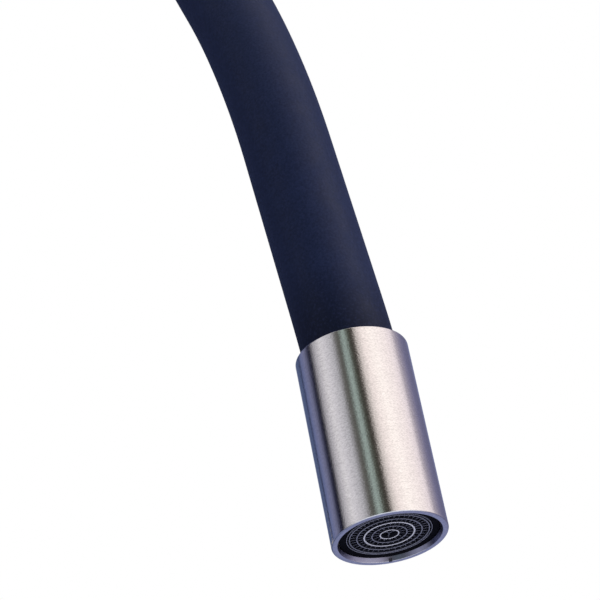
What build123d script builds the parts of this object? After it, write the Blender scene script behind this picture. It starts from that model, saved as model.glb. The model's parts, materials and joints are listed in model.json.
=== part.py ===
"""Deck-mounted single-lever faucet with a bendable silicone-covered gooseneck spout.

Frame: origin at the centre of the base on the deck, +Z up, outlet towards +X,
lever side towards +Y. Millimetres. The threaded shank and its nut hang below z = 0.

The spout's centre line lies in the XZ plane: a straight riser, an arch made of
tangent arcs, and a nearly straight leg that ends in the brushed outlet sleeve.
The mixing cartridge lies on a horizontal axis in the +Y branch of the body.
"""

import os
from math import cos, radians, sin

from build123d import *

os.makedirs("parts", exist_ok=True)

# ---------------------------------------------------------------- dimensions
# base and body
gasket_t = 2.0
flange_top = 8.0
flange_r = 27.0
shell_r = 24.0
shell_in_r = 21.5
block_r = 21.48
shell_top = 160.0
shank_r = 16.5
thread_r = 16.3
plain_shank = 28.0
shank_bore_r = 13.0
shank_low = -76.0
shank_collar_top = 22.0
deck_t = 30.0

block_low = 62.0
block_top = 158.0
inlet_r = 4.5
inlet_x = 8.0
inlet_depth = 12.0

# cartridge, on an axis parallel to Y at height axis_z; w is the distance along +Y
axis_z = 100.0
branch_r = 22.0
branch_bore_r = 17.7
branch_end = 32.0
seat_w = 9.0
pivot_w = 34.0
ball_w = 22.6
port_x, port_up, port_down, port_r = 6.4, 4.0, 6.5, 2.3
dome_r = 18.6
hub_r = 20.0
hub_low, hub_ceiling, hub_end = 41.0, 54.0, 67.0
lever_w = 60.0
lever_r = 4.5
lever_top = axis_z + 96.0

# spout base and swivel
socket_r, socket_low = 11.05, 128.0
spigot_r = 10.97
collar_top = 232.0
collar_r = 15.0

# hose
hose_r = 12.5
hose_in_r = 9.5
arm_r, arm_in_r = 9.3, 7.0
tube_r, tube_in_r = 6.0, 4.03

# outlet sleeve, in its own frame: u runs from the outlet face up the sleeve
sleeve_r, sleeve_len, sleeve_bore_r = 15.0, 53.5, 13.0
outlet_z = 205.0
lean = 15.23  # degrees between the sleeve's axis and the vertical

# the spout's line, from inside the sleeve upwards: arcs are (radius, angle from vertical
# at the arc's end), single numbers are straight stretches
bend_start = 44.0
leg_steps = [(126.6, 19.53), (625.0, 21.18), 55.0, (333.0, 28.92), (250.0, 33.5), 66.0]
arch_steps = [(82.0, 120.0), (130.0, 180.0)]


# ---------------------------------------------------------------- edge picking
def circles(piece):
    """Every full or part circle among the piece's edges."""
    return piece.edges().filter_by(GeomType.CIRCLE)


def circles_of(piece, r):
    """The circles of radius r."""
    return circles(piece).filter_by(lambda e: abs(e.radius - r) < 0.01)


# ---------------------------------------------------------------- spout route
def arc(p, a0, a1, r):
    """Middle and end points of an arc that starts at p, heading a0 degrees from vertical."""
    out = []
    for a in ((a0 + a1) / 2, a1):
        out.append(
            (
                p[0] + r * (cos(radians(a)) - cos(radians(a0))),
                p[1] + r * (sin(radians(a)) - sin(radians(a0))),
            )
        )
    return out


def route_from_outlet(reach, u_low, z_low):
    """Centre line as a list of point tuples, lines of two points and arcs of three."""
    s, c = sin(radians(lean)), cos(radians(lean))
    out = []
    p = (reach - bend_start * s, outlet_z + bend_start * c)
    out.append([(reach - u_low * s, outlet_z + u_low * c), p])
    a = lean
    for step in leg_steps + arch_steps:
        if isinstance(step, tuple):
            mid, end = arc(p, a, step[1], step[0])
            out.append([p, mid, end])
            p, a = end, step[1]
        else:
            q = (p[0] - step * sin(radians(a)), p[1] + step * cos(radians(a)))
            out.append([p, q])
            p = q
    out.append([p, (p[0], z_low)])
    return out


reach = -route_from_outlet(0.0, 0.0, 0.0)[-1][0][0]


def route(u_low, z_low):
    """The same line from the riser's foot to the outlet, as 3-D points."""
    legs = route_from_outlet(reach, u_low, z_low)
    return [[(x, 0.0, z) for x, z in reversed(leg)] for leg in reversed(legs)]


# ---------------------------------------------------------------- work planes
outlet_dir = (-sin(radians(lean)), 0, cos(radians(lean)))
outlet_side = (cos(radians(lean)), 0, sin(radians(lean)))
outlet_at = (reach, 0, outlet_z)
outlet_profile = Plane(origin=outlet_at, x_dir=outlet_side, z_dir=(0, -1, 0))
outlet_axis = Axis(outlet_at, outlet_dir)


def across_outlet(u):
    """Plane across the sleeve at height u, with its normal up the sleeve."""
    o = tuple(outlet_at[i] + u * outlet_dir[i] for i in range(3))
    return Plane(origin=o, x_dir=outlet_side, z_dir=outlet_dir)


cart_profile = Plane(origin=(0, 0, axis_z), x_dir=(1, 0, 0), z_dir=(0, 0, 1))
cart_axis = Axis((0, 0, axis_z), (0, 1, 0))


def across_cart(w):
    """Plane across the cartridge at distance w; its x runs along -X and its y along +Z."""
    return Plane(origin=(0, w, axis_z), x_dir=(-1, 0, 0), z_dir=(0, 1, 0))


# ================================================================ base and deck clamp
with BuildPart() as deck_gasket:
    with BuildSketch(Plane.XY):
        Circle(26.0)
        Circle(17.0, mode=Mode.SUBTRACT)
    extrude(amount=gasket_t)
    fillet(circles_of(deck_gasket, 26.0), 0.4)
deck_gasket.part.label = "deck_gasket"

with BuildPart() as base_flange:
    with BuildSketch(Plane.XZ):
        with BuildLine():
            Polyline(
                (16.7, gasket_t),
                (flange_r, gasket_t),
                (flange_r, flange_top - 3.0),
                (flange_r - 2.4, flange_top),
                (16.7, flange_top),
                close=True,
            )
        make_face()
    revolve(axis=Axis.Z)
    fillet(circles_of(base_flange, flange_r), 0.5)
    fillet(circles_of(base_flange, flange_r - 2.4), 1.2)
base_flange.part.label = "base_flange"

with BuildPart() as shank:
    with BuildSketch(Plane.XZ):
        with BuildLine():
            Polyline(
                (shank_bore_r, shank_low),
                (thread_r - 1.0, shank_low),
                (thread_r, shank_low + 1.0),
                (thread_r, -plain_shank - 0.2),
                (shank_r, -plain_shank),
                (shank_r, 0.0),
                (shank_r - 0.4, 0.4),
                (shank_r - 0.4, flange_top),
                (block_r, flange_top),
                (block_r, shank_collar_top),
                (shank_bore_r, shank_collar_top),
                close=True,
            )
        make_face()
    revolve(axis=Axis.Z)
shank.part.label = "shank"

with BuildPart() as clamp_rubber_washer:
    with BuildSketch(Plane.XY.offset(-deck_t - 2.5)):
        Circle(25.0)
        Circle(shank_r + 0.1, mode=Mode.SUBTRACT)
    extrude(amount=2.5)
clamp_rubber_washer.part.label = "clamp_rubber_washer"

with BuildPart() as clamp_steel_washer:
    with BuildSketch(Plane.XY.offset(-deck_t - 4.5)):
        Circle(24.0)
        Circle(shank_r + 0.1, mode=Mode.SUBTRACT)
    extrude(amount=2.0)
    chamfer(circles_of(clamp_steel_washer, 24.0), 0.3)
clamp_steel_washer.part.label = "clamp_steel_washer"

with BuildPart() as mounting_nut:
    with BuildSketch(Plane.XY.offset(-deck_t - 14.5)):
        RegularPolygon(radius=23.6, side_count=6)
        Circle(shank_r + 0.05, mode=Mode.SUBTRACT)
    extrude(amount=10.0)
    with BuildSketch(Plane.XZ):
        with BuildLine():
            Polyline(
                (21.2, -deck_t - 14.6),
                (25.0, -deck_t - 12.3),
                (25.0, -deck_t - 14.6),
                close=True,
            )
        make_face()
    revolve(axis=Axis.Z, mode=Mode.SUBTRACT)
mounting_nut.part.label = "mounting_nut"

# ================================================================ body
with BuildPart() as body_shell:
    with BuildSketch(Plane.XY.offset(flange_top)):
        Circle(shell_r)
    extrude(amount=shell_top - flange_top)
    with BuildSketch(across_cart(0)):
        Circle(branch_r)
    extrude(amount=branch_end)
    with BuildSketch(Plane.XY.offset(flange_top)):
        Circle(shell_in_r)
    extrude(amount=shell_top - flange_top, mode=Mode.SUBTRACT)
    with BuildSketch(across_cart(seat_w)):
        Circle(branch_bore_r)
    extrude(amount=branch_end - seat_w, mode=Mode.SUBTRACT)
    with BuildSketch(Plane(origin=(0, 0, 143.5), x_dir=(0, 1, 0), z_dir=(-1, 0, 0))):
        Circle(2.52)
    extrude(amount=30, mode=Mode.SUBTRACT)
    chamfer(circles_of(body_shell, branch_r).sort_by(Axis.Y)[-1:], 0.6)
    chamfer(circles_of(body_shell, shell_r).sort_by(Axis.Z)[-1:], 0.4)
body_shell.part.label = "body_shell"

with BuildPart() as valve_block:
    with BuildSketch(Plane.XY.offset(block_low)):
        Circle(block_r)
    extrude(amount=block_top - block_low)
    # seat of the cartridge, reached through the branch
    with BuildSketch(across_cart(seat_w)):
        Circle(branch_bore_r + 0.1)
    extrude(amount=20, mode=Mode.SUBTRACT)
    # threaded sockets for the two supply hoses, and the ways up from them
    with BuildSketch(Plane.XY.offset(block_low)):
        with Locations((inlet_x, 0), (-inlet_x, 0)):
            Circle(inlet_r)
    extrude(amount=inlet_depth, mode=Mode.SUBTRACT)
    with BuildSketch(Plane.XY.offset(block_low + inlet_depth)):
        with Locations((inlet_x, 0), (-inlet_x, 0)):
            Circle(2.8)
    extrude(amount=axis_z + port_up + 2.0 - block_low - inlet_depth, mode=Mode.SUBTRACT)
    with BuildSketch(across_cart(0)):
        with Locations((port_x, port_up), (-port_x, port_up)):
            Circle(port_r)
    extrude(amount=seat_w, mode=Mode.SUBTRACT)
    # mixed water back to the middle, and up to the spout
    with BuildSketch(across_cart(-2)):
        with Locations((0, -port_down)):
            Circle(2.8)
    extrude(amount=seat_w + 2, mode=Mode.SUBTRACT)
    with BuildSketch(Plane.XY.offset(axis_z - port_down)):
        Circle(2.8)
    extrude(amount=socket_low - axis_z + port_down, mode=Mode.SUBTRACT)
    with BuildSketch(Plane.XY.offset(socket_low)):
        Circle(socket_r)
    extrude(amount=block_top - socket_low, mode=Mode.SUBTRACT)
    # side screw that keeps the spout from lifting
    with BuildSketch(Plane(origin=(-5, 0, 143.5), x_dir=(0, 1, 0), z_dir=(-1, 0, 0))):
        Circle(2.52)
    extrude(amount=20, mode=Mode.SUBTRACT)
valve_block.part.label = "valve_block"

with BuildPart() as spout_retaining_screw:
    with BuildSketch(Plane(origin=(-11.2, 0, 143.5), x_dir=(0, 1, 0), z_dir=(-1, 0, 0))):
        Circle(2.5)
    extrude(amount=12.0)
    with BuildSketch(Plane(origin=(-9.6, 0, 143.5), x_dir=(0, 1, 0), z_dir=(-1, 0, 0))):
        Circle(1.5)
    extrude(amount=1.6)
    with BuildSketch(Plane(origin=(-20.7, 0, 143.5), x_dir=(0, 1, 0), z_dir=(-1, 0, 0))):
        RegularPolygon(radius=1.45, side_count=6)
    extrude(amount=2.5, mode=Mode.SUBTRACT)
spout_retaining_screw.part.label = "spout_retaining_screw"

with BuildPart() as swivel_bearing_ring:
    with BuildSketch(Plane.XY.offset(shell_top)):
        Circle(23.2)
        Circle(19.0, mode=Mode.SUBTRACT)
    extrude(amount=1.2)
swivel_bearing_ring.part.label = "swivel_bearing_ring"

# ================================================================ cartridge
ports = [(port_x, port_up), (-port_x, port_up), (0, -port_down)]

with BuildPart() as cartridge_seals:
    with BuildSketch(across_cart(seat_w)):
        with Locations(*ports):
            Circle(3.5)
            Circle(2.6, mode=Mode.SUBTRACT)
    extrude(amount=1.2)
cartridge_seals.part.label = "cartridge_seals"

with BuildPart() as cartridge_base:
    with BuildSketch(across_cart(seat_w)):
        Circle(17.5)
    extrude(amount=4.0)
    with BuildSketch(across_cart(seat_w)):
        with Locations(*ports):
            Circle(3.5)
    extrude(amount=1.2, mode=Mode.SUBTRACT)
    with BuildSketch(across_cart(seat_w)):
        with Locations(*ports):
            Circle(port_r)
    extrude(amount=4.0, mode=Mode.SUBTRACT)
cartridge_base.part.label = "cartridge_base"

with BuildPart() as ceramic_disc_fixed:
    with BuildSketch(across_cart(seat_w + 4.0)):
        Circle(14.8)
        with Locations(*ports):
            Circle(port_r, mode=Mode.SUBTRACT)
    extrude(amount=4.0)
ceramic_disc_fixed.part.label = "ceramic_disc_fixed"

with BuildPart() as ceramic_disc_moving:
    with BuildSketch(across_cart(17.0)):
        with Locations((0, -2.0)):
            Circle(12.0)
    extrude(amount=3.5)
    with BuildSketch(across_cart(17.0)):
        with Locations((0, -3.5)):
            Circle(6.0)
    extrude(amount=1.8, mode=Mode.SUBTRACT)
ceramic_disc_moving.part.label = "ceramic_disc_moving"

with BuildPart() as disc_carrier:
    with BuildSketch(across_cart(20.5)):
        with Locations((0, -2.0)):
            Circle(11.5)
        Circle(2.3, mode=Mode.SUBTRACT)
    extrude(amount=4.0)
disc_carrier.part.label = "disc_carrier"

with BuildPart() as cartridge_housing:
    with BuildSketch(cart_profile):
        with BuildLine():
            Polyline(
                (15.1, 13.0),
                (17.5, 13.0),
                (17.5, 27.0),
                (15.0, 27.0),
                (15.0, 31.0),
                (11.3, 31.0),
                (11.3, 27.9),
                (13.4, 27.9),
                (13.4, 24.8),
                (15.1, 24.8),
                close=True,
            )
        make_face()
    revolve(axis=cart_axis)
cartridge_housing.part.label = "cartridge_housing"

with BuildPart() as cartridge_turret:
    with BuildSketch(cart_profile):
        with BuildLine():
            Polyline(
                (0, 24.8),
                (13.1, 24.8),
                (13.1, 27.5),
                (11.1, 27.5),
                (11.1, 38.0),
                (0, 38.0),
                close=True,
            )
        make_face()
    revolve(axis=cart_axis)
    with BuildSketch(across_cart(24.0)):
        Rectangle(7.5, 12.6)
    extrude(amount=15, mode=Mode.SUBTRACT)
    with BuildSketch(Plane(origin=(-12, pivot_w, axis_z), x_dir=(0, 1, 0), z_dir=(1, 0, 0))):
        Circle(1.52)
    extrude(amount=24, mode=Mode.SUBTRACT)
cartridge_turret.part.label = "cartridge_turret"

with BuildPart() as stem_pivot_pin:
    with BuildSketch(Plane(origin=(-10, pivot_w, axis_z), x_dir=(0, 1, 0), z_dir=(1, 0, 0))):
        Circle(1.5)
    extrude(amount=20)
stem_pivot_pin.part.label = "stem_pivot_pin"

with BuildPart() as cartridge_stem:
    with BuildSketch(across_cart(29.0)):
        RectangleRounded(7.0, 7.0, 0.5)
    extrude(amount=35.0)
    with BuildSketch(across_cart(ball_w)):
        Circle(1.2)
    extrude(amount=29.0 - ball_w)
    with Locations((0, ball_w, axis_z)):
        Sphere(2.0)
    with BuildSketch(Plane(origin=(-6, pivot_w, axis_z), x_dir=(0, 1, 0), z_dir=(1, 0, 0))):
        Circle(1.55)
    extrude(amount=12, mode=Mode.SUBTRACT)
cartridge_stem.part.label = "cartridge_stem"

with BuildPart() as cartridge_nut:
    with BuildSketch(across_cart(27.0)):
        Circle(branch_bore_r - 0.04)
        Circle(15.2, mode=Mode.SUBTRACT)
    extrude(amount=3.0)
    # spanner notches in the outer face
    with BuildSketch(across_cart(28.6)):
        with PolarLocations(16.4, 6):
            Rectangle(3.0, 3.0)
    extrude(amount=2.0, mode=Mode.SUBTRACT)
cartridge_nut.part.label = "cartridge_nut"

with BuildPart() as cartridge_dome:
    with BuildSketch(cart_profile):
        with BuildLine():
            outer_low = (18.4931, branch_end)
            outer_top = (12.2, pivot_w + (dome_r**2 - 12.2**2) ** 0.5)
            inner_top = (12.2, pivot_w + (17.4**2 - 12.2**2) ** 0.5)
            inner_low = (16.4, pivot_w + (17.4**2 - 16.4**2) ** 0.5)
            outer_mid = (dome_r * cos(radians(25)), pivot_w + dome_r * sin(radians(25)))
            inner_mid = (17.4 * cos(radians(35)), pivot_w + 17.4 * sin(radians(35)))
            ThreePointArc(outer_low, outer_mid, outer_top)
            Polyline(outer_top, inner_top)
            ThreePointArc(inner_top, inner_mid, inner_low)
            Polyline(
                inner_low,
                (16.4, 30.0),
                (branch_bore_r - 0.04, 30.0),
                (branch_bore_r - 0.04, branch_end),
                outer_low,
            )
        make_face()
    revolve(axis=cart_axis)
cartridge_dome.part.label = "cartridge_dome"

# ================================================================ lever
with BuildPart() as lever_hub:
    with BuildSketch(cart_profile):
        with BuildLine():
            Polyline(
                (0, hub_ceiling),
                (17.6, hub_ceiling),
                (17.6, hub_low),
                (hub_r, hub_low),
                (hub_r, hub_end),
                (0, hub_end),
                close=True,
            )
        make_face()
    revolve(axis=cart_axis)
    fillet(circles_of(lever_hub, hub_r).sort_by(Axis.Y)[-1:], 1.2)
    chamfer(circles_of(lever_hub, hub_r).sort_by(Axis.Y)[:1], 0.3)
    with BuildSketch(across_cart(hub_ceiling)):
        RectangleRounded(7.04, 7.04, 0.5)
    extrude(amount=64.1 - hub_ceiling, mode=Mode.SUBTRACT)
    with BuildSketch(Plane(origin=(0, lever_w, axis_z + 12.0), z_dir=(0, 0, 1))):
        Circle(lever_r + 0.02)
    extrude(amount=12, mode=Mode.SUBTRACT)
    with BuildSketch(Plane(origin=(0, lever_w, axis_z - 3.5), z_dir=(0, 0, -1))):
        Circle(2.52)
    extrude(amount=20, mode=Mode.SUBTRACT)
    with BuildSketch(across_cart(hub_end - 1.2)):
        Circle(3.52)
    extrude(amount=2, mode=Mode.SUBTRACT)
lever_hub.part.label = "lever_hub"

with BuildPart() as lever_pin:
    with BuildSketch(Plane(origin=(0, lever_w, axis_z + 12.0), z_dir=(0, 0, 1))):
        Circle(lever_r)
    extrude(amount=lever_top - axis_z - 12.0)
    fillet(circles(lever_pin).sort_by(Axis.Z)[-1:], 1.5)
lever_pin.part.label = "lever_pin"

with BuildPart() as lever_grub_screw:
    with BuildSketch(Plane(origin=(0, lever_w, axis_z - 3.54), z_dir=(0, 0, -1))):
        Circle(2.5)
    extrude(amount=9.0)
    with BuildSketch(Plane(origin=(0, lever_w, axis_z - 9.6), z_dir=(0, 0, -1))):
        RegularPolygon(radius=1.45, side_count=6)
    extrude(amount=3.0, mode=Mode.SUBTRACT)
lever_grub_screw.part.label = "lever_grub_screw"

with BuildPart() as lever_plug:
    with BuildSketch(Plane(origin=(0, lever_w, axis_z - 13.5), z_dir=(0, 0, -1))):
        Circle(2.5)
    extrude(amount=5.8)
lever_plug.part.label = "lever_plug"

with BuildPart() as temperature_index:
    with BuildSketch(across_cart(hub_end - 1.2)):
        Circle(3.5)
    extrude(amount=1.5)
    fillet(circles(temperature_index).sort_by(Axis.Y)[-1:], 0.4)
temperature_index.part.label = "temperature_index"

# ================================================================ spout base
with BuildPart() as spout_base:
    with BuildSketch(Plane.XZ):
        with BuildLine():
            Polyline(
                (12.62, shell_top + 1.2),
                (shell_r, shell_top + 1.2),
                (shell_r, 174.0),
            )
            ThreePointArc((shell_r, 174.0), (21.46, 180.0), (collar_r, 184.0))
            Polyline(
                (collar_r, 184.0),
                (collar_r, collar_top),
                (12.62, collar_top),
                (12.62, shell_top + 1.2),
            )
        make_face()
    revolve(axis=Axis.Z)
    chamfer(circles_of(spout_base, collar_r).sort_by(Axis.Z)[-1:], 0.35)
    chamfer(circles_of(spout_base, shell_r).sort_by(Axis.Z)[:1], 0.35)
spout_base.part.label = "spout_base"

with BuildPart() as spout_spigot:
    with BuildSketch(Plane.XZ):
        with BuildLine():
            Polyline(
                (3.0, 130.0),
                (spigot_r - 1.0, 130.0),
                (spigot_r, 131.0),
                (spigot_r, 134.4),
                (8.9, 134.4),
                (8.9, 136.8),
                (spigot_r, 136.8),
                (spigot_r, 141.5),
                (9.2, 141.5),
                (9.2, 145.5),
                (spigot_r, 145.5),
                (spigot_r, 149.4),
                (8.9, 149.4),
                (8.9, 151.8),
                (spigot_r, 151.8),
                (spigot_r, 162.0),
                (12.6, 162.0),
                (12.6, 180.0),
                (4.0, 180.0),
                (4.0, 196.0),
                (3.0, 196.0),
                close=True,
            )
        make_face()
    revolve(axis=Axis.Z)
spout_spigot.part.label = "spout_spigot"

with BuildPart() as spigot_o_rings:
    with BuildSketch(Plane.XZ):
        with Locations((9.96, 135.6), (9.96, 150.6)):
            Circle(1.04)
    revolve(axis=Axis.Z)
spigot_o_rings.part.label = "spigot_o_rings"

with BuildPart() as hose_ferrule_lower:
    with BuildSketch(Plane.XY.offset(180.0)):
        Circle(12.5)
        Circle(6.1, mode=Mode.SUBTRACT)
    extrude(amount=10.0)
hose_ferrule_lower.part.label = "hose_ferrule_lower"

# ================================================================ hose and what it holds
with BuildPart() as silicone_hose:
    with BuildLine():
        for leg in route(36.0, 190.0):
            if len(leg) == 2:
                Line(*leg)
            else:
                ThreePointArc(*leg)
    with BuildSketch(Plane.XY.offset(190.0)):
        Circle(hose_r)
        Circle(hose_in_r, mode=Mode.SUBTRACT)
    sweep()
silicone_hose.part.label = "silicone_hose"

# the riser and the arch are stiffened by a bent steel tube
with BuildPart() as spout_tube:
    with BuildLine():
        for leg in route(36.0, 190.0)[:3]:
            if len(leg) == 2:
                Line(*leg)
            else:
                ThreePointArc(*leg)
    with BuildSketch(Plane.XY.offset(190.0)):
        Circle(arm_r)
        Circle(arm_r - 1.2, mode=Mode.SUBTRACT)
    sweep()
spout_tube.part.label = "spout_tube"

# from the end of the arch the hose is held by a bendable gooseneck
flex_at = route(36.0, 190.0)[3][0]
flex_angle = leg_steps[-2][1]
with BuildPart() as gooseneck_armature:
    with BuildLine():
        for leg in route(36.0, 190.0)[3:]:
            if len(leg) == 2:
                Line(*leg)
            else:
                ThreePointArc(*leg)
    with BuildSketch(Plane(origin=flex_at, x_dir=(0, 1, 0), z_dir=(sin(radians(flex_angle)), 0, -cos(radians(flex_angle))))):
        Circle(arm_r)
        Circle(arm_in_r, mode=Mode.SUBTRACT)
    sweep()
gooseneck_armature.part.label = "gooseneck_armature"

with BuildPart() as water_tube:
    with BuildLine():
        for leg in route(28.0, 181.0):
            if len(leg) == 2:
                Line(*leg)
            else:
                ThreePointArc(*leg)
    with BuildSketch(Plane.XY.offset(181.0)):
        Circle(tube_r)
        Circle(tube_in_r, mode=Mode.SUBTRACT)
    sweep()
water_tube.part.label = "water_tube"

# ================================================================ outlet
with BuildPart() as outlet_sleeve:
    with BuildSketch(outlet_profile):
        with BuildLine():
            # the bore flares a little at the mouth
            Polyline(
                (sleeve_bore_r + 0.45, 0),
                (sleeve_r, 0),
                (sleeve_r, sleeve_len),
                (sleeve_bore_r, sleeve_len),
                (sleeve_bore_r, 1.15),
                close=True,
            )
        make_face()
    revolve(axis=outlet_axis)
    chamfer(circles_of(outlet_sleeve, sleeve_r), 0.35)
    # side screw, on the side away from the user
    with BuildSketch(Plane(origin=across_outlet(20.0).origin, x_dir=outlet_dir, z_dir=(0, 1, 0))):
        Circle(2.02)
    extrude(amount=20, mode=Mode.SUBTRACT)
    # key notch for the aerator tool in the bore's lower edge
    with BuildSketch(across_outlet(0.0)):
        with PolarLocations(13.2, 1, start_angle=138.0):
            Rectangle(1.2, 0.9)
    extrude(amount=0.75, mode=Mode.SUBTRACT)
outlet_sleeve.part.label = "outlet_sleeve"

with BuildPart() as nozzle_body:
    with BuildSketch(outlet_profile):
        with BuildLine():
            Polyline(
                (12.0, 2.6),
                (sleeve_bore_r - 0.02, 2.6),
                (sleeve_bore_r - 0.02, 27.0),
                (4.0, 27.0),
                (4.0, 41.0),
                (3.0, 41.0),
                (3.0, 14.5),
                (8.0, 12.5),
                (12.0, 12.5),
                close=True,
            )
        make_face()
    revolve(axis=outlet_axis)
    with BuildSketch(Plane(origin=across_outlet(20.0).origin, x_dir=outlet_dir, z_dir=(0, 1, 0)).offset(9.0)):
        Circle(2.02)
    extrude(amount=20, mode=Mode.SUBTRACT)
nozzle_body.part.label = "nozzle_body"

with BuildPart() as sleeve_grub_screw:
    with BuildSketch(Plane(origin=across_outlet(20.0).origin, x_dir=outlet_dir, z_dir=(0, 1, 0)).offset(9.0)):
        Circle(2.0)
    extrude(amount=5.7)
    with BuildSketch(Plane(origin=across_outlet(20.0).origin, x_dir=outlet_dir, z_dir=(0, 1, 0)).offset(12.6)):
        RegularPolygon(radius=1.15, side_count=6)
    extrude(amount=3.0, mode=Mode.SUBTRACT)
sleeve_grub_screw.part.label = "sleeve_grub_screw"

with BuildPart() as hose_ferrule_upper:
    with BuildSketch(across_outlet(27.0)):
        Circle(12.9)
        Circle(6.1, mode=Mode.SUBTRACT)
    extrude(amount=9.0)
hose_ferrule_upper.part.label = "hose_ferrule_upper"

with BuildPart() as aerator_washer:
    with BuildSketch(across_outlet(11.2)):
        Circle(11.9)
        Circle(8.2, mode=Mode.SUBTRACT)
    extrude(amount=1.3)
aerator_washer.part.label = "aerator_washer"

with BuildPart() as aerator_housing:
    with BuildSketch(outlet_profile):
        with BuildLine():
            Polyline(
                (11.0, 1.4),
                (11.3, 1.15),
                (12.85, 1.15),
                (12.85, 2.6),
                (11.95, 2.6),
                (11.95, 11.2),
                (11.0, 11.2),
                close=True,
            )
        make_face()
    revolve(axis=outlet_axis)
aerator_housing.part.label = "aerator_housing"

grid_rings = [(10.05, 10.4), (8.15, 8.5), (6.2, 6.65), (4.3, 4.65), (2.2, 2.55)]
grid_rows = [(2.45, 4.4, 16), (4.55, 6.3, 26), (6.55, 8.25, 34), (8.4, 10.15, 42)]

with BuildPart() as aerator_grid:
    with BuildSketch(across_outlet(1.1)):
        for r_in, r_out in grid_rings:
            Circle(r_out)
            Circle(r_in, mode=Mode.SUBTRACT)
    extrude(amount=2.0)
    for row, (r_in, r_out, count) in enumerate(grid_rows):
        with BuildSketch(across_outlet(1.5)):
            with PolarLocations((r_in + r_out) / 2, count, start_angle=row * 3.1):
                Rectangle(r_out - r_in, 0.26)
        extrude(amount=1.6)
    with BuildSketch(across_outlet(2.4)):
        Circle(10.98)
        Circle(10.3, mode=Mode.SUBTRACT)
    extrude(amount=0.7)
    # three thin ribs hold the centre cell
    with BuildSketch(across_outlet(1.6)):
        with PolarLocations(1.2, 3):
            Rectangle(2.4, 0.3)
    extrude(amount=1.5)
aerator_grid.part.label = "aerator_grid"

with BuildPart() as aerator_core:
    with BuildSketch(across_outlet(3.6)):
        Circle(10.9)
        with PolarLocations(8.6, 18):
            Circle(0.9, mode=Mode.SUBTRACT)
        with PolarLocations(5.6, 12):
            Circle(0.9, mode=Mode.SUBTRACT)
        with PolarLocations(2.6, 6):
            Circle(0.8, mode=Mode.SUBTRACT)
    extrude(amount=2.4)
aerator_core.part.label = "aerator_core"

with BuildPart() as aerator_jet_plate:
    with BuildSketch(across_outlet(6.4)):
        Circle(10.9)
        with PolarLocations(7.4, 24):
            Circle(0.45, mode=Mode.SUBTRACT)
    extrude(amount=1.4)
aerator_jet_plate.part.label = "aerator_jet_plate"

with BuildPart() as aerator_screen:
    with BuildSketch(outlet_profile):
        with BuildLine():
            Polyline(
                (0, 10.0),
                (6.0, 9.7),
                (8.0, 8.4),
                (10.9, 8.4),
                (10.9, 7.9),
                (7.8, 7.9),
                (5.8, 9.2),
                (0, 9.5),
                close=True,
            )
        make_face()
    revolve(axis=outlet_axis)
aerator_screen.part.label = "aerator_screen"

# ---------------------------------------------------------------- files
pieces = [
    deck_gasket,
    base_flange,
    shank,
    clamp_rubber_washer,
    clamp_steel_washer,
    mounting_nut,
    body_shell,
    valve_block,
    spout_retaining_screw,
    swivel_bearing_ring,
    cartridge_seals,
    cartridge_base,
    ceramic_disc_fixed,
    ceramic_disc_moving,
    disc_carrier,
    cartridge_housing,
    cartridge_turret,
    stem_pivot_pin,
    cartridge_stem,
    cartridge_nut,
    cartridge_dome,
    lever_hub,
    lever_pin,
    lever_grub_screw,
    lever_plug,
    temperature_index,
    spout_base,
    spout_spigot,
    spigot_o_rings,
    hose_ferrule_lower,
    silicone_hose,
    spout_tube,
    gooseneck_armature,
    water_tube,
    outlet_sleeve,
    nozzle_body,
    sleeve_grub_screw,
    hose_ferrule_upper,
    aerator_washer,
    aerator_housing,
    aerator_grid,
    aerator_core,
    aerator_jet_plate,
    aerator_screen,
]
for piece in pieces:
    export_step(piece.part, f"parts/{piece.part.label}.step")

print("reach", round(reach, 3), "outlet height", outlet_z, "flex at", [round(v, 3) for v in flex_at])
for leg in route(0.0, 190.0):
    print([tuple(round(v, 2) for v in p) for p in leg])
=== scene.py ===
import json
import math

import bpy
import bmesh
from mathutils import Matrix, Vector


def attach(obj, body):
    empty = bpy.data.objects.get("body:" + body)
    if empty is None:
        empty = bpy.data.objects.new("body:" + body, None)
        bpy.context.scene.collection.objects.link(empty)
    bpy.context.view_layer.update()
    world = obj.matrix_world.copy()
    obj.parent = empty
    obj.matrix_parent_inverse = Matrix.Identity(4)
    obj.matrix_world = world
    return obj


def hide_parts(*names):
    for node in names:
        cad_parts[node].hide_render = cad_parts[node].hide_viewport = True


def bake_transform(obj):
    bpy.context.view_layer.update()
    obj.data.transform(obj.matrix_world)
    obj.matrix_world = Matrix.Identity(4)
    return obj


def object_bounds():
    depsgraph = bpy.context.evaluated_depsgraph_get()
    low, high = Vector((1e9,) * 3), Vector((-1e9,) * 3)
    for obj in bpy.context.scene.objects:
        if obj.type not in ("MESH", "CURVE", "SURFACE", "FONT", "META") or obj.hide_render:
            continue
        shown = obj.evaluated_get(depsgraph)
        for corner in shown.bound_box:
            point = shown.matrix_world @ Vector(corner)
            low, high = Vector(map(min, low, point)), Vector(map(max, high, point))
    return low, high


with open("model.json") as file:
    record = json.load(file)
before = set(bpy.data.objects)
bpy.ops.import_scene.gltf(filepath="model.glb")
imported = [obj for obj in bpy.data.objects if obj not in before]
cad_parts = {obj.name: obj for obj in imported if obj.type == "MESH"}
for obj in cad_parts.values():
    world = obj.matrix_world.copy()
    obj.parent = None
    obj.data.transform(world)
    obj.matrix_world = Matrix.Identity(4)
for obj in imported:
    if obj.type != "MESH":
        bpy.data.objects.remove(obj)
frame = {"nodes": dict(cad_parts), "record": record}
nodes = frame["nodes"]
cad_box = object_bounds()

MM = 0.001
RAD = math.radians

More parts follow.
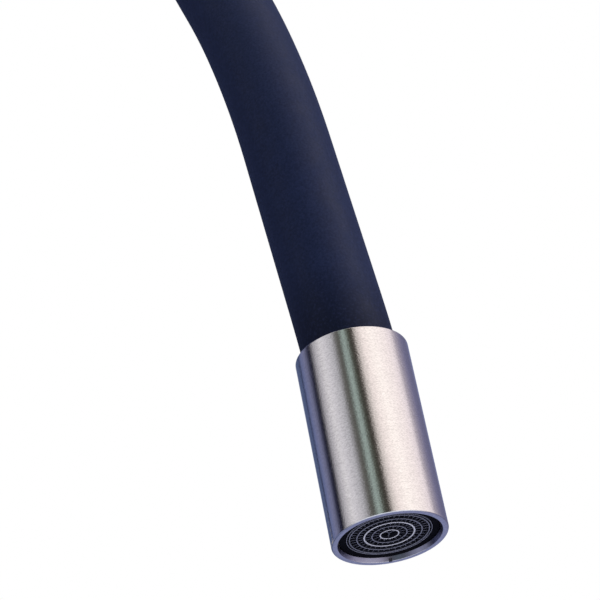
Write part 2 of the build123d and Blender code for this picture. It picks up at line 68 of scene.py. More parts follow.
# ------------------------------------------------------------------ the spout's line, as in the CAD
LEAN = RAD(15.23)
OUTLET_Z = 205.0
SLEEVE_L = 53.5
BEND_START = 44.0
STEPS = [(126.6, 19.53), (625.0, 21.18), 55.0, (333.0, 28.92), (250.0, 33.5), 66.0, (82.0, 120.0), (130.0, 180.0)]


def outlet_line():
    """(x, z, angle from vertical, arclength) from inside the sleeve to the end of the arch, mm, outlet at x = 0."""
    x, z, a, s = -BEND_START * math.sin(LEAN), OUTLET_Z + BEND_START * math.cos(LEAN), LEAN, 0.0
    out = [(x, z, a, s)]
    joints = [0.0]
    for step in STEPS:
        if isinstance(step, tuple):
            r, a1 = step[0], RAD(step[1])
            n = max(6, int(abs(r * (a1 - a)) / 1.5))
            x0, z0, a0, s0 = x, z, a, s
            for i in range(1, n + 1):
                a = a0 + (a1 - a0) * i / n
                x = x0 + r * (math.cos(a) - math.cos(a0))
                z = z0 + r * (math.sin(a) - math.sin(a0))
                s = s0 + r * (a - a0)
                out.append((x, z, a, s))
        else:
            n = int(step / 2.0)
            x0, z0, s0 = x, z, s
            for i in range(1, n + 1):
                x = x0 - step * i / n * math.sin(a)
                z = z0 + step * i / n * math.cos(a)
                s = s0 + step * i / n
                out.append((x, z, a, s))
        joints.append(s)
    return out, joints


LINE, STATIONS = outlet_line()
REACH = -LINE[-1][0]
OUTLET = Vector((REACH, 0, OUTLET_Z)) * MM
UP = Vector((-math.sin(LEAN), 0, math.cos(LEAN)))      # up the sleeve's axis
SIDE = Vector((math.cos(LEAN), 0, math.sin(LEAN)))
FLEX_S = STATIONS[6]                                     # arclength where the bendable leg starts


def hose_points(u_low, z_low, from_s=None, to_s=None):
    """Stations (position in metres, angle, arclength) from inside the sleeve up and over to the riser's foot."""
    pts = []
    n = max(2, int((BEND_START - u_low) / 2.0))
    for i in range(n):
        u = u_low + (BEND_START - u_low) * i / n
        pts.append((OUTLET + UP * u * MM, LEAN, u - BEND_START))
    for x, z, a, s in LINE:
        pts.append((Vector((x + REACH, 0, z)) * MM, a, s))
    x, z, a, s = LINE[-1]
    n = int((z - z_low) / 3.0)
    for i in range(1, n + 1):
        pts.append((Vector((0, 0, z - (z - z_low) * i / n)) * MM, math.pi, s + (z - z_low) * i / n))
    if from_s is not None:
        pts = [p for p in pts if p[2] >= from_s - 1e-6]
    if to_s is not None:
        pts = [p for p in pts if p[2] <= to_s + 1e-6]
    return pts


# ------------------------------------------------------------------ mesh helpers
def new_object(name, bm, sharp=32.0):
    me = bpy.data.meshes.new(name)
    bmesh.ops.recalc_face_normals(bm, faces=bm.faces)
    bm.to_mesh(me)
    bm.free()
    me.polygons.foreach_set("use_smooth", [True] * len(me.polygons))
    if sharp:
        me.set_sharp_from_angle(angle=RAD(sharp))
    ob = bpy.data.objects.new(name, me)
    bpy.context.scene.collection.objects.link(ob)
    return ob


def rounded(points, radius, n=5, closed=True):
    """A polygon's corners rounded by a small radius, or by the third value of a point where it has one."""
    out = []
    m = len(points)
    for i, p in enumerate(points):
        r = p[2] if len(p) > 2 else radius
        if not closed and i in (0, m - 1) or r <= 0:
            out.append((p[0], p[1]))
            continue
        a, b = points[i - 1], points[(i + 1) % m]
        va = Vector((a[0] - p[0], a[1] - p[1]))
        vb = Vector((b[0] - p[0], b[1] - p[1]))
        la, lb = va.length, vb.length
        va.normalize()
        vb.normalize()
        half = va.angle(vb) / 2
        d = min(r / math.tan(half), la * 0.45, lb * 0.45)
        r = d * math.tan(half)
        mid = (va + vb).normalized() * (r / math.sin(half))
        c = Vector((p[0], p[1])) + mid
        s0 = Vector((p[0], p[1])) + va * d - c
        s1 = Vector((p[0], p[1])) + vb * d - c
        a0 = math.atan2(s0.y, s0.x)
        da = math.atan2(s1.y, s1.x) - a0
        da = (da + math.pi) % (2 * math.pi) - math.pi
        for k in range(n + 1):
            t = a0 + da * k / n
            out.append((c.x + r * math.cos(t), c.y + r * math.sin(t)))
    return out


def lathe_into(bm, profile, place, seg=160, closed=True, uv=True):
    """Turns a profile of (radius, height) in mm around place's Z axis. UV: u along the axis, v around it."""
    layer = bm.loops.layers.uv.verify() if uv else None
    rings = []
    for r, h in profile:
        if r < 1e-6:
            rings.append([bm.verts.new(place @ Vector((0, 0, h * MM)))])
        else:
            rings.append(
                [
                    bm.verts.new(
                        place
                        @ Vector((r * MM * math.cos(2 * math.pi * i / seg), r * MM * math.sin(2 * math.pi * i / seg), h * MM))
                    )
                    for i in range(seg)
                ]
            )
    count = len(profile) if closed else len(profile) - 1
    for j in range(count):
        a, b = rings[j], rings[(j + 1) % len(profile)]
        ha, hb = profile[j], profile[(j + 1) % len(profile)]
        for i in range(seg):
            k = (i + 1) % seg
            if len(a) == 1 and len(b) == 1:
                continue
            if len(a) == 1:
                f = bm.faces.new((a[0], b[i], b[k]))
                co = [(ha[1], i + 0.5), (hb[1], i), (hb[1], i + 1)]
            elif len(b) == 1:
                f = bm.faces.new((a[i], a[k], b[0]))
                co = [(ha[1], i), (ha[1], i + 1), (hb[1], i + 0.5)]
            else:
                f = bm.faces.new((a[i], a[k], b[k], b[i]))
                co = [(ha[1], i), (ha[1], i + 1), (hb[1], i + 1), (hb[1], i)]
            if layer:
                for loop, (h, t) in zip(f.loops, co):
                    loop[layer].uv = (h * MM * 20, t / seg)


def lathe(name, profile, place, seg=160, closed=True, sharp=32.0):
    bm = bmesh.new()
    lathe_into(bm, profile, place, seg, closed)
    return new_object(name, bm, sharp)


def frame_at(origin, z_axis, x_axis):
    z = z_axis.normalized()
    x = (x_axis - z * x_axis.dot(z)).normalized()
    y = z.cross(x)
    m = Matrix((x, y, z)).transposed().to_4x4()
    m.translation = origin
    return m


AT_OUTLET = frame_at(OUTLET, UP, SIDE)


def tube(name, stations, radius, inner, seg=96, bulge=None):
    """A thick tube along stations of (point, angle from vertical, arclength). Planar in XZ."""
    bm = bmesh.new()
    layer = bm.loops.layers.uv.verify()
    outer, inside = [], []
    for p, a, s in stations:
        n = Vector((math.cos(a), 0, math.sin(a)))
        b = Vector((0, 1, 0))
        r = radius + (bulge(s) if bulge else 0.0)
        outer.append([bm.verts.new(p + (n * math.cos(t) + b * math.sin(t)) * r * MM) for t in [2 * math.pi * i / seg for i in range(seg)]])
        inside.append([bm.verts.new(p + (n * math.cos(t) + b * math.sin(t)) * inner * MM) for t in [2 * math.pi * i / seg for i in range(seg)]])
    for ring_set, flip in ((outer, False), (inside, True)):
        for j in range(len(stations) - 1):
            for i in range(seg):
                k = (i + 1) % seg
                q = (ring_set[j][i], ring_set[j][k], ring_set[j + 1][k], ring_set[j + 1][i])
                co = [(j, i), (j, i + 1), (j + 1, i + 1), (j + 1, i)]
                f = bm.faces.new(q)
                for loop, (jj, ii) in zip(f.loops, co):
                    loop[layer].uv = (stations[jj][2] * MM * 20, ii / seg)
    for j in (0, -1):
        for i in range(seg):
            k = (i + 1) % seg
            bm.faces.new((outer[j][i], outer[j][k], inside[j][k], inside[j][i]))
    return new_object(name, bm, 50.0)


# ------------------------------------------------------------------ node materials
def node_tree(name):
    m = bpy.data.materials.new(name)
    m.use_nodes = True
    nt = m.node_tree
    nt.nodes.clear()
    out = nt.nodes.new("ShaderNodeOutputMaterial")
    sh = nt.nodes.new("ShaderNodeBsdfPrincipled")
    nt.links.new(sh.outputs[0], out.inputs[0])
    return m, nt, sh


def math_node(nt, op, a, b=None, c=None):
    n = nt.nodes.new("ShaderNodeMath")
    n.operation = op
    for i, v in enumerate((a, b, c)):
        if v is None:
            continue
        if isinstance(v, (int, float)):
            n.inputs[i].default_value = v
        else:
            nt.links.new(v, n.inputs[i])
    return n.outputs[0]


def vec_node(nt, op, a, b=None):
    n = nt.nodes.new("ShaderNodeVectorMath")
    n.operation = op
    for i, v in enumerate((a, b)):
        if v is None:
            continue
        if isinstance(v, (tuple, Vector)):
            n.inputs[i].default_value = tuple(v)
        else:
            nt.links.new(v, n.inputs[i])
    return n.outputs["Value"] if op == "DOT_PRODUCT" else n.outputs["Vector"]


def object_coords(nt):
    return nt.nodes.new("ShaderNodeTexCoord").outputs["Object"]


def noise(nt, vector, scale, detail=3.0, rough=0.5, kind="3D"):
    n = nt.nodes.new("ShaderNodeTexNoise")
    n.noise_dimensions = kind
    n.inputs["Scale"].default_value = scale
    n.inputs["Detail"].default_value = detail
    n.inputs["Roughness"].default_value = rough
    nt.links.new(vector, n.inputs["Vector"])
    return n.outputs["Fac"]


def ramp(nt, fac, stops, mode="LINEAR"):
    n = nt.nodes.new("ShaderNodeValToRGB")
    n.color_ramp.interpolation = mode
    e = n.color_ramp.elements
    while len(e) > 1:
        e.remove(e[-1])
    e[0].position, e[0].color = stops[0][0], (*stops[0][1], 1)
    for p, c in stops[1:]:
        k = e.new(p)
        k.color = (*c, 1)
    nt.links.new(fac, n.inputs[0])
    return n.outputs[0]


def remap(nt, v, lo, hi, to_lo, to_hi):
    n = nt.nodes.new("ShaderNodeMapRange")
    for i, x in enumerate((lo, hi, to_lo, to_hi)):
        n.inputs[i + 1].default_value = x
    nt.links.new(v, n.inputs[0])
    return n.outputs[0]


def bump(nt, height, strength, distance, normal=None):
    n = nt.nodes.new("ShaderNodeBump")
    n.inputs["Strength"].default_value = strength
    n.inputs["Distance"].default_value = distance
    nt.links.new(height, n.inputs["Height"])
    if normal:
        nt.links.new(normal, n.inputs["Normal"])
    return n.outputs[0]


def mix_color(nt, fac, a, b, mode="MIX"):
    n = nt.nodes.new("ShaderNodeMix")
    n.data_type = "RGBA"
    n.blend_type = mode
    if isinstance(fac, (int, float)):
        n.inputs[0].default_value = fac
    else:
        nt.links.new(fac, n.inputs[0])
    for i, v in ((6, a), (7, b)):
        if isinstance(v, tuple):
            n.inputs[i].default_value = (*v, 1)
        else:
            nt.links.new(v, n.inputs[i])
    return n.outputs[2]


def brushed_metal(name, axis, color, rough=0.16, stretch=0.85, grain=1.0, origin=(0, 0, 0)):
    """Satin metal brushed around an axis: short fine strokes round the piece, highlights drawn out along it."""
    m, nt, sh = node_tree(name)
    co = vec_node(nt, "SUBTRACT", object_coords(nt), tuple(origin))
    ax = Vector(axis).normalized()
    along = vec_node(nt, "DOT_PRODUCT", co, tuple(ax))

    def strokes(squeeze):
        k = nt.nodes.new("ShaderNodeVectorMath")
        k.operation = "SCALE"
        k.inputs[0].default_value = tuple(ax)
        nt.links.new(math_node(nt, "MULTIPLY", along, squeeze), k.inputs["Scale"])
        return vec_node(nt, "ADD", co, k.outputs[0])

    fine = noise(nt, strokes(1.5), 1600.0, 1.0, 0.6)
    lines = noise(nt, strokes(7.0), 210.0, 3.0, 0.55)
    blotch = noise(nt, co, 42.0, 2.0, 0.5)
    tint = ramp(nt, fine, [(0.32, tuple(c * 0.86 for c in color)), (0.50, color), (0.68, tuple(min(1, c * 1.10) for c in color))])
    tint = mix_color(nt, remap(nt, lines, 0.32, 0.68, 0.0, 0.20), tint, tuple(c * 0.72 for c in color))
    tint = mix_color(nt, remap(nt, blotch, 0.35, 0.70, 0.0, 0.10), tint, tuple(c * 0.86 for c in color))
    nt.links.new(tint, sh.inputs["Base Color"])
    sh.inputs["Metallic"].default_value = 1.0
    nt.links.new(remap(nt, lines, 0.3, 0.7, rough * 0.85, rough * 1.15), sh.inputs["Roughness"])
    sh.inputs["Anisotropic"].default_value = stretch
    t = nt.nodes.new("ShaderNodeVectorTransform")
    t.vector_type = "VECTOR"
    t.convert_from = "OBJECT"
    t.convert_to = "WORLD"
    t.inputs[0].default_value = tuple(ax)
    nt.links.new(t.outputs[0], sh.inputs["Tangent"])
    nt.links.new(bump(nt, fine, 0.7 * grain, 0.00003), sh.inputs["Normal"])
    return m


def turned_metal(name, color, rough=0.32, scale=900.0):
    m, nt, sh = node_tree(name)
    co = object_coords(nt)
    fine = noise(nt, co, scale, 4.0, 0.6)
    broad = noise(nt, co, 60.0, 3.0, 0.5)
    tint = ramp(nt, broad, [(0.3, tuple(c * 0.84 for c in color)), (0.7, color)])
    nt.links.new(tint, sh.inputs["Base Color"])
    sh.inputs["Metallic"].default_value = 1.0
    nt.links.new(remap(nt, fine, 0.3, 0.7, rough * 0.8, rough * 1.3), sh.inputs["Roughness"])
    nt.links.new(bump(nt, fine, 0.10, 0.00005), sh.inputs["Normal"])
    return m


def moulded(name, color, rough=0.45, spec=0.5, grain=700.0, depth=0.00004, strength=0.15, vary=0.15):
    m, nt, sh = node_tree(name)
    co = object_coords(nt)
    fine = noise(nt, co, grain, 4.0, 0.6)
    broad = noise(nt, co, 50.0, 3.0, 0.5)
    tint = ramp(nt, broad, [(0.3, tuple(c * (1 - vary) for c in color)), (0.7, tuple(min(1, c * (1 + vary)) for c in color))])
    nt.links.new(tint, sh.inputs["Base Color"])
    nt.links.new(remap(nt, fine, 0.3, 0.7, rough * 0.85, min(1.0, rough * 1.2)), sh.inputs["Roughness"])
    sh.inputs["Specular IOR Level"].default_value = spec
    nt.links.new(bump(nt, fine, strength, depth), sh.inputs["Normal"])
    return m


STEEL = (0.66, 0.645, 0.635)
steel_z = brushed_metal("brushed_steel_z", (0, 0, 1), STEEL)
steel_y = brushed_metal("brushed_steel_y", (0, 1, 0), STEEL, origin=(0, 0, 0.1))
steel_out = brushed_metal("brushed_steel_sleeve", UP, STEEL, origin=OUTLET)
steel_turned = turned_metal("turned_steel", (0.56, 0.56, 0.565))
brass = turned_metal("machined_brass", (0.72, 0.55, 0.28), 0.34)
rubber = moulded("black_rubber", (0.018, 0.018, 0.019), 0.72, 0.3)
white_plastic = moulded("white_acetal", (0.74, 0.74, 0.72), 0.42)
black_plastic = moulded("black_plastic", (0.0045, 0.0045, 0.006), 0.38, 0.35)
ceramic = moulded("lapped_ceramic", (0.82, 0.82, 0.80), 0.12, 0.5, vary=0.04)


def silicone(name):
    """Matte dark navy silicone, with the faint mottling of a moulded skin."""
    m, nt, sh = node_tree(name)
    co = object_coords(nt)
    fine = noise(nt, co, 1500.0, 3.0, 0.6)
    mottle = noise(nt, co, 160.0, 4.0, 0.6)
    broad = noise(nt, co, 24.0, 2.0, 0.5)
    tint = ramp(nt, mottle, [(0.30, (0.0024, 0.0058, 0.0225)), (0.55, (0.0030, 0.0070, 0.0260)), (0.75, (0.0040, 0.0084, 0.0300))])
    tint = mix_color(nt, remap(nt, broad, 0.35, 0.65, 0.0, 0.5), tint, (0.0034, 0.0070, 0.0240))
    # painted shade: the skin is darkened just above the sleeve's lip, where the sleeve shades it
    sep = nt.nodes.new("ShaderNodeSeparateXYZ")
    nt.links.new(co, sep.inputs[0])
    sleeve_lip_shade = remap(nt, sep.outputs["Z"], SLEEVE_TOP_Z + 0.006, SLEEVE_TOP_Z + 0.024, 0.85, 0.0)
    tint = mix_color(nt, sleeve_lip_shade, tint, (0.0003, 0.0018, 0.0085))
    # fine speckle of the matte skin
    tint = mix_color(nt, remap(nt, fine, 0.50, 0.72, 0.0, 0.55), tint, (0.0085, 0.0125, 0.0390))
    tint = mix_color(nt, remap(nt, fine, 0.50, 0.30, 0.0, 0.60), tint, (0.0006, 0.0024, 0.0125))
    nt.links.new(tint, sh.inputs["Base Color"])
    nt.links.new(remap(nt, mottle, 0.3, 0.7, 0.50, 0.62), sh.inputs["Roughness"])
    sh.inputs["Specular IOR Level"].default_value = 0.09
    sh.inputs["Sheen Weight"].default_value = 0.02
    sh.inputs["Sheen Roughness"].default_value = 0.5
    sh.inputs["Sheen Tint"].default_value = (0.55, 0.62, 1.0, 1)
    n1 = bump(nt, fine, 0.12, 0.00003)
    nt.links.new(bump(nt, mottle, 0.10, 0.00012, n1), sh.inputs["Normal"])
    return m


SLEEVE_TOP_Z = (OUTLET_Z + SLEEVE_L * math.cos(LEAN)) * MM
navy = silicone("navy_silicone")


def index_plug(name):
    """Plain hot and cold index: one half blue, one half red."""
    m, nt, sh = node_tree(name)
    co = object_coords(nt)
    x = nt.nodes.new("ShaderNodeSeparateXYZ")
    nt.links.new(co, x.inputs[0])
    grain = noise(nt, co, 500.0, 3.0, 0.5)
    side = remap(nt, x.outputs[0], -0.00012, 0.00012, 0.0, 1.0)
    tint = mix_color(nt, side, (0.45, 0.02, 0.02), (0.02, 0.06, 0.42))
    tint = mix_color(nt, remap(nt, grain, 0.3, 0.7, 0.0, 0.15), tint, (0.02, 0.02, 0.03))
    nt.links.new(tint, sh.inputs["Base Color"])
    nt.links.new(remap(nt, grain, 0.3, 0.7, 0.18, 0.28), sh.inputs["Roughness"])
    return m


plug_mat = index_plug("index_plug")

by_slot = {
    "brushed_steel": steel_z,
    "turned_steel": steel_turned,
    "brass": brass,
    "black_rubber": rubber,
    "navy_silicone": navy,
    "white_plastic": white_plastic,
    "black_plastic": black_plastic,
    "ceramic": ceramic,
    "index_plug": plug_mat,
}
for sub in frame["record"]["subparts"]:
    ob = nodes[sub["node"]]
    ob.data.materials.clear()
    ob.data.materials.append(by_slot[sub["material_slot"]])
for name in ("lever_hub", "cartridge_dome"):
    nodes[name].data.materials[0] = steel_y
nodes["outlet_sleeve"].data.materials[0] = steel_out


def give(ob, mat, body):
    ob.data.materials.append(mat)
    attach(ob, body)
    return ob


def blended_tube(name, stations, radius, inner, mat, node, seg=96, bulge=None):
    ob = tube(name, stations, radius, inner, seg, bulge)
    ob.data.materials.append(mat)
    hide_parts(node)
    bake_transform(ob)
    per_ring = []
    for p, a, s in stations:
        per_ring += [s] * (2 * seg)
    return ob


hose = blended_tube("hose_skin", hose_points(36.0, 190.0), 12.5, 9.6, navy, "silicone_hose", 128)
arm = blended_tube("gooseneck_coil", hose_points(36.0, 190.0, to_s=FLEX_S), 9.3, 7.0, steel_turned, "gooseneck_armature", 48)
tube_in = blended_tube("inner_water_tube", hose_points(28.0, 181.0), 6.0, 4.0, black_plastic, "water_tube", 48)

# ------------------------------------------------------------------ outlet sleeve
sleeve_profile = rounded(
    [(13.45, 0.0, 0.10), (15.0, 0.0, 0.40), (15.0, 16.5, 0), (15.0, 23.5, 0), (15.0, SLEEVE_L, 0.30), (13.0, SLEEVE_L, 0.25), (13.0, 23.5, 0), (13.0, 16.5, 0), (13.0, 1.15, 0.1)], 0.3, 6
)
sleeve = lathe("outlet_sleeve_skin", sleeve_profile, AT_OUTLET, 256, sharp=None)
bm = bmesh.new()
# side screw hole, on the side away from the user
bmesh.ops.create_cone(bm, cap_ends=True, segments=48, radius1=2.02 * MM, radius2=2.02 * MM, depth=20 * MM, matrix=Matrix.Translation(OUTLET + UP * 20 * MM + Vector((0, 19 * MM, 0))) @ Matrix.Rotation(RAD(90), 4, "X"))
# key notch in the bore's lower edge
key = AT_OUTLET @ Matrix.Rotation(RAD(138), 4, "Z") @ Matrix.Translation((13.2 * MM, 0, 0.1 * MM))
bmesh.ops.create_cube(bm, size=1.0, matrix=key @ Matrix.Diagonal((1.2 * MM, 0.9 * MM, 1.3 * MM, 1.0)))
cutter = new_object("sleeve_cutter", bm, None)
mod = sleeve.modifiers.new("openings", "BOOLEAN")
mod.operation = "DIFFERENCE"
mod.solver = "EXACT"
mod.object = cutter
cut = bpy.data.meshes.new_from_object(sleeve.evaluated_get(bpy.context.evaluated_depsgraph_get()))
sleeve.modifiers.clear()
sleeve.data = cut
bpy.data.objects.remove(cutter)
cut.polygons.foreach_set("use_smooth", [True] * len(cut.polygons))
cut.set_sharp_from_angle(angle=RAD(40))
give(sleeve, steel_out, "outlet")
# painted shade and reflection: the bore's lower lip gets a darker, bluish steel colour in place of its own bright
# steel
mouth_shade_mat = turned_metal("sleeve_mouth_painted_shade", (0.24, 0.25, 0.35), 0.30)
sleeve.data.materials.append(mouth_shade_mat)
to_outlet = AT_OUTLET.inverted()
for f in sleeve.data.polygons:
    c = to_outlet @ f.center
    if math.hypot(c.x, c.y) < 13.43 * MM and c.z < 1.2 * MM:
        f.material_index = 1
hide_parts("outlet_sleeve")

# ------------------------------------------------------------------ aerator
# painted highlight: a pale colour for the lower faces of the aerator's rings
ring_highlight_mat = moulded("aerator_ring_painted_highlight", (0.30, 0.315, 0.385), 0.34, 0.4)


def ring_profile(r_in, r_out, u0, u1, r=0.12):
    return rounded([(r_in, u0), (r_out, u0), (r_out, u1), (r_in, u1)], min(r, (r_out - r_in) * 0.45), 4)


bm = bmesh.new()
for r_in, r_out in ((2.2, 2.55), (6.2, 6.65)):
    lathe_into(bm, ring_profile(r_in, r_out, 1.1, 3.1), AT_OUTLET, 144)
grid = new_object("aerator_rings", bm, 40.0)
spoke_mat = moulded("aerator_spoke_plastic", (0.0085, 0.0095, 0.017), 0.5, 0.12)


def lit_faces(ob):
    """Painted highlight: the rings' lower faces take the paler material, standing for light caught on their edges;
    their walls stay dark.
    """
    for f in ob.data.polygons:
        f.material_index = 1 if f.normal.dot(-UP) > 0.35 and (to_outlet @ f.center).z < 1.3 * MM else 0


grid.data.materials.append(spoke_mat)
give(grid, ring_highlight_mat, "outlet")
lit_faces(grid)
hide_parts("aerator_grid")

# painted highlight: a dimmer pale colour for the thin rings' lower faces and for the cup's edge line
faint_highlight_mat = moulded("aerator_thin_rings", (0.085, 0.092, 0.132), 0.36, 0.3)
bm = bmesh.new()
for r_in, r_out in ((4.3, 4.65), (8.15, 8.5), (10.05, 10.4)):
    lathe_into(bm, ring_profile(r_in, r_out, 1.1, 3.1), AT_OUTLET, 144)
faint = new_object("aerator_thin_rings", bm, 40.0)
faint.data.materials.append(spoke_mat)
give(faint, faint_highlight_mat, "outlet")
lit_faces(faint)


def bar(bm, place, r0, r1, u0, u1, w):
    vs = []
    for u in (u0, u1):
        for r, y in ((r0, -w), (r1, -w), (r1, w), (r0, w)):
            vs.append(bm.verts.new(place @ Vector((r * MM, y * MM, u * MM))))
    for q in ((0, 1, 2, 3), (7, 6, 5, 4), (0, 4, 5, 1), (1, 5, 6, 2), (2, 6, 7, 3), (3, 7, 4, 0)):
        bm.faces.new([vs[k] for k in q])


bm = bmesh.new()
for row, (r_in, r_out, count) in enumerate(((2.45, 4.4, 16), (4.55, 6.3, 26), (6.55, 8.25, 34), (8.4, 10.15, 42))):
    for i in range(count):
        bar(bm, AT_OUTLET @ Matrix.Rotation(2 * math.pi * i / count + RAD(row * 3.1), 4, "Z"), r_in, r_out, 1.5, 3.1, 0.13)
for i in range(3):
    bar(bm, AT_OUTLET @ Matrix.Rotation(2 * math.pi * i / 3 + 0.4, 4, "Z"), 0.0, 2.4, 1.6, 3.1, 0.15)
spokes = new_object("aerator_spokes", bm, 20.0)
# painted highlight: the spokes' downward-facing ends get a paler colour than their sides
spoke_end_highlight_mat = moulded("aerator_spoke_end_highlight", (0.050, 0.054, 0.078), 0.4, 0.3)
spokes.data.materials.append(spoke_mat)
spokes.data.materials.append(spoke_end_highlight_mat)
for f in spokes.data.polygons:
    f.material_index = 1 if f.normal.dot(-UP) > 0.9 else 0
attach(spokes, "outlet")

rim_profile = rounded(
    [(11.0, 1.4, 0.05), (11.3, 1.15, 0.05), (12.85, 1.15), (12.85, 2.6, 0.0), (11.95, 2.6, 0.0), (11.95, 11.2), (11.0, 11.2)], 0.15, 4
)
cup_mat = moulded("aerator_cup_plastic", (0.0014, 0.0014, 0.0030), 0.6, 0.03)
rim = give(lathe("aerator_cup", rim_profile, AT_OUTLET, 192, sharp=35), cup_mat, "outlet")
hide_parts("aerator_housing")
# painted highlight: a thin pale ring at the cup's inner edge stands for light caught by its chamfer
bm = bmesh.new()
lathe_into(bm, ring_profile(10.80, 11.02, 1.12, 1.5, 0.08), AT_OUTLET, 192)
rim_highlight_line = give(new_object("aerator_cup_edge", bm, 40.0), faint_highlight_mat, "outlet")
for name in ("aerator_core", "aerator_jet_plate"):
    nodes[name].data.materials[0] = cup_mat

# ------------------------------------------------------------------ threaded shank
def thread_mesh(name, r_root, r_top, z0, z1, pitch, seg=96):
    """A real helical thread skin from z0 up to z1, mm, around Z."""
    bm = bmesh.new()
    steps = int((z1 - z0) / pitch * 8)
    rings = []
    for j in range(steps + 1):
        z = z0 + (z1 - z0) * j / steps
        ring = []
        for i in range(seg):
            t = i / seg
            phase = ((z - z0) / pitch - t) % 1.0
            w = 1 - abs(2 * phase - 1)
            r = r_root + (r_top - r_root) * min(1.0, max(0.0, (w - 0.12) / 0.66))
            fade = min(1.0, (z - z0) / 1.5, (z1 - z) / 1.5)
            r = r_root + (r - r_root) * max(0.0, fade)
            ring.append(bm.verts.new(Vector((r * math.cos(2 * math.pi * t), r * math.sin(2 * math.pi * t), z)) * MM))
        rings.append(ring)
    for j in range(steps):
        for i in range(seg):
            k = (i + 1) % seg
            bm.faces.new((rings[j][i], rings[j][k], rings[j + 1][k], rings[j + 1][i]))
    return bm, rings


bm, rings = thread_mesh("shank_thread", 15.6, 16.3, -75.0, -28.4, 1.5)
lathe_into(
    bm,
    [(13.0, -76.0), (15.1, -76.0), (15.6, -75.4), (15.6, -75.0)],
    Matrix.Identity(4), 96, closed=False,
)
lathe_into(
    bm,
    [(15.6, -28.4), (16.5, -28.0), (16.5, 0.0), (16.1, 0.4), (16.1, 8.0), (21.4, 8.0), (21.4, 22.0), (13.0, 22.0), (13.0, -76.0)],
    Matrix.Identity(4), 96, closed=False,
)
bmesh.ops.remove_doubles(bm, verts=bm.verts, dist=1e-6)
shank = give(new_object("threaded_shank", bm, 28.0), brass, "base")
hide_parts("shank")

# ------------------------------------------------------------------ stage, lights, camera
SLEEVE_MID = OUTLET + UP * 27 * MM
CAM_OFFSET = Vector((411.402, -381.877, -140.984)) * MM
psi, pitch = RAD(40.58), RAD(20.0)
fwd = Vector((-math.cos(psi) * math.cos(pitch), math.sin(psi) * math.cos(pitch), math.sin(pitch)))
right = Vector((math.sin(psi), math.cos(psi), 0))
down = fwd.cross(right)
roll = RAD(-0.15)
right, down = right * math.cos(roll) + down * math.sin(roll), down * math.cos(roll) - right * math.sin(roll)
cam_at = OUTLET + CAM_OFFSET - right * 0.00033 - down * 0.00025
cam_data = bpy.data.cameras.new("camera")
cam = bpy.data.objects.new("camera", cam_data)
bpy.context.scene.collection.objects.link(cam)
cam.matrix_world = Matrix.Translation(cam_at) @ Matrix((right, -down, -fwd)).transposed().to_4x4()
cam_data.sensor_width = 36.0
cam_data.lens = 138.0
cam_data.clip_start = 0.01
cam_data.clip_end = 50.0
bpy.context.scene.camera = cam

bm = bmesh.new()
bmesh.ops.create_grid(bm, x_segments=8, y_segments=8, size=6.0)
floor = new_object("floor", bm, None)
floor.location = (0, 0, cad_box[0][2] - 0.0004)
m, nt, sh = node_tree("pale_floor")
where = object_coords(nt)
grain = noise(nt, where, 3.0, 3.0, 0.5)
nt.links.new(ramp(nt, grain, [(0.3, (0.80, 0.80, 0.80)), (0.7, (0.84, 0.84, 0.84))]), sh.inputs["Base Color"])
sh.inputs["Roughness"].default_value = 0.8
sh.inputs["Specular IOR Level"].default_value = 0.2
# far away the floor runs out into the white backdrop, and from underneath it isn't there
far = nt.nodes.new("ShaderNodeVectorMath")
far.operation = "LENGTH"
nt.links.new(where, far.inputs[0])
sweep = nt.nodes.new("ShaderNodeEmission")
blend = nt.nodes.new("ShaderNodeMixShader")
under = nt.nodes.new("ShaderNodeMixShader")
clear = nt.nodes.new("ShaderNodeBsdfTransparent")
edge = nt.nodes.new("ShaderNodeMapRange")
edge.interpolation_type = "SMOOTHSTEP"
edge.inputs[1].default_value, edge.inputs[2].default_value = 0.5, 1.8
nt.links.new(far.outputs["Value"], edge.inputs[0])
nt.links.new(edge.outputs[0], blend.inputs[0])
nt.links.new(sh.outputs[0], blend.inputs[1])
nt.links.new(sweep.outputs[0], blend.inputs[2])
nt.links.new(nt.nodes.new("ShaderNodeNewGeometry").outputs["Backfacing"], under.inputs[0])
nt.links.new(blend.outputs[0], under.inputs[1])
nt.links.new(clear.outputs[0], under.inputs[2])
nt.links.new(under.outputs[0], next(n for n in nt.nodes if n.type == "OUTPUT_MATERIAL").inputs[0])
floor.data.materials.append(m)
floor.visible_glossy = False


def softbox(name, at, target, size, power, color=(1, 1, 1), glossy=False):
    d = bpy.data.lights.new(name, "AREA")
    d.shape = "RECTANGLE"
    d.size, d.size_y = size
    d.energy = power
    d.color = color
    o = bpy.data.objects.new(name, d)
    bpy.context.scene.collection.objects.link(o)
    o.location = at
    o.rotation_euler = (Vector(target) - Vector(at)).to_track_quat("-Z", "Y").to_euler()
    o.visible_glossy = glossy
    return o


back = -fwd
softbox("key", SLEEVE_MID + right * 0.9 + back * 0.5 + Vector((0, 0, 0.55)), SLEEVE_MID + Vector((0, 0, 0.1)), (0.7, 1.0), 10.0, (1.0, 0.96, 0.94))
softbox("fill", SLEEVE_MID - right * 1.1 + back * 0.3 + Vector((0, 0, 0.5)), SLEEVE_MID, (0.6, 1.0), 3.0, (0.80, 0.87, 1.0))
softbox("top", Vector((0.1, 0.0, 1.9)), Vector((0.1, 0, 0.2)), (1.6, 1.6), 30.0)
# a long strip on the user's right that draws the soft highlight down the hose
hose_mid = SLEEVE_MID + Vector((-0.06, 0, 0.13))
strip = softbox("hose_strip", hose_mid + right * 0.72 + back * 0.20 + Vector((0, 0, 0.92)), hose_mid, (0.40, 0.60), 3.1, (1.0, 0.95, 0.98), glossy=True)
lit = bpy.data.collections.new("lit_by_strip")
lit.objects.link(hose)
strip.light_linking.receiver_collection = lit

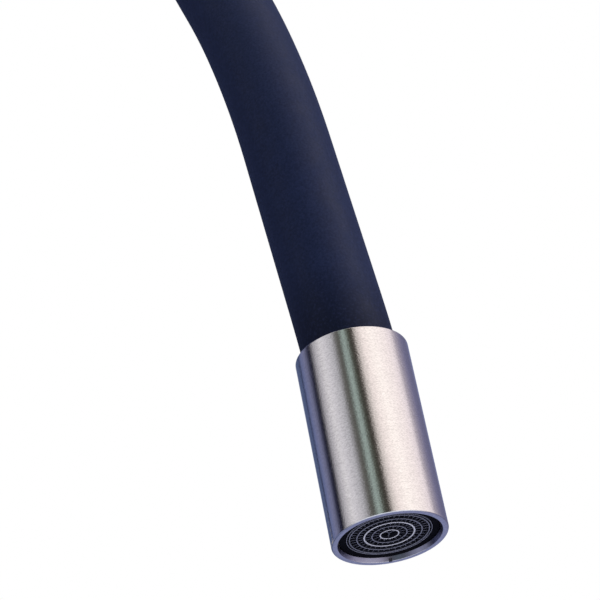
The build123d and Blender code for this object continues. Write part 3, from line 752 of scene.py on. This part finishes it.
# studio seen only by lights and reflections; the camera sees a plain white backdrop
world = bpy.data.worlds.new("studio")
bpy.context.scene.world = world
world.use_nodes = True
nt = world.node_tree
nt.nodes.clear()
out = nt.nodes.new("ShaderNodeOutputWorld")
white = nt.nodes.new("ShaderNodeBackground")
white.inputs[0].default_value = (1, 1, 1, 1)
white.inputs[1].default_value = 1.0
room = nt.nodes.new("ShaderNodeBackground")
path = nt.nodes.new("ShaderNodeLightPath")
mix = nt.nodes.new("ShaderNodeMixShader")
nt.links.new(path.outputs["Is Camera Ray"], mix.inputs[0])
nt.links.new(room.outputs[0], mix.inputs[1])
nt.links.new(white.outputs[0], mix.inputs[2])
nt.links.new(mix.outputs[0], out.inputs[0])
direction = nt.nodes.new("ShaderNodeTexCoord").outputs["Generated"]
ray = (SLEEVE_MID - cam_at).normalized()
e1 = -(ray - UP * ray.dot(UP)).normalized()
e2 = (right - UP * right.dot(UP) - e1 * right.dot(e1)).normalized()
x1 = vec_node(nt, "DOT_PRODUCT", direction, tuple(e1))
x2 = vec_node(nt, "DOT_PRODUCT", direction, tuple(e2))
angle = math_node(nt, "ARCTAN2", x2, x1)
turn = remap(nt, angle, -math.pi, math.pi, 0.0, 1.0)


def at_deg(a):
    return (a + 180.0) / 360.0


panels = ramp(nt, turn, [
    (0.0, (0.29, 0.32, 0.56)),
    (at_deg(-160), (0.11, 0.145, 0.26)),
    (at_deg(-150), (0.085, 0.12, 0.24)),
    (at_deg(-130), (0.175, 0.215, 0.43)),
    (at_deg(-115), (0.25, 0.265, 0.45)),
    (at_deg(-107), (0.19, 0.20, 0.33)),
    (at_deg(-97.5), (0.012, 0.012, 0.035)),
    (at_deg(-89.5), (0.004, 0.004, 0.012)),
    (at_deg(-86.5), (0.25, 0.245, 0.28)),
    (at_deg(-80), (0.58, 0.565, 0.62)),
    (at_deg(-63), (0.98, 0.96, 1.01)),
    (at_deg(-54), (0.92, 0.90, 0.97)),
    (at_deg(-35), (0.60, 0.60, 0.65)),
    (at_deg(-30), (0.36, 0.36, 0.38)),
    (at_deg(-25), (0.17, 0.17, 0.16)),
    (at_deg(-19), (0.11, 0.11, 0.10)),
    (at_deg(-10), (0.46, 0.57, 0.54)),
    (at_deg(-5), (0.36, 0.44, 0.41)),
    (at_deg(0), (0.12, 0.13, 0.11)),
    (at_deg(5), (0.055, 0.052, 0.043)),
    (at_deg(10.5), (0.09, 0.08, 0.07)),
    (at_deg(15), (0.62, 0.57, 0.545)),
    (at_deg(20), (0.96, 0.88, 0.85)),
    (at_deg(30), (1.35, 1.22, 1.19)),
    (at_deg(50), (1.55, 1.44, 1.39)),
    (at_deg(80), (1.37, 1.24, 1.24)),
    (at_deg(97), (1.20, 1.08, 1.14)),
    (at_deg(105), (0.62, 0.56, 0.65)),
    (at_deg(116), (0.39, 0.36, 0.49)),
    (at_deg(130), (0.22, 0.215, 0.37)),
    (at_deg(150), (0.17, 0.17, 0.29)),
    (0.999, (0.29, 0.32, 0.56)),
])
# pale glow from straight below, seen only by the rounded edges
below = vec_node(nt, "DOT_PRODUCT", direction, tuple(-UP))
panels = mix_color(nt, remap(nt, below, 0.72, 0.92, 0.0, 1.0), panels, (1.05, 1.12, 1.30))
nt.links.new(panels, room.inputs[0])
room.inputs[1].default_value = 1.0

scene = bpy.context.scene
scene.view_settings.view_transform = "Standard"
scene.view_settings.look = "None"
scene.view_settings.exposure = 0.0
scene.view_settings.gamma = 1.0
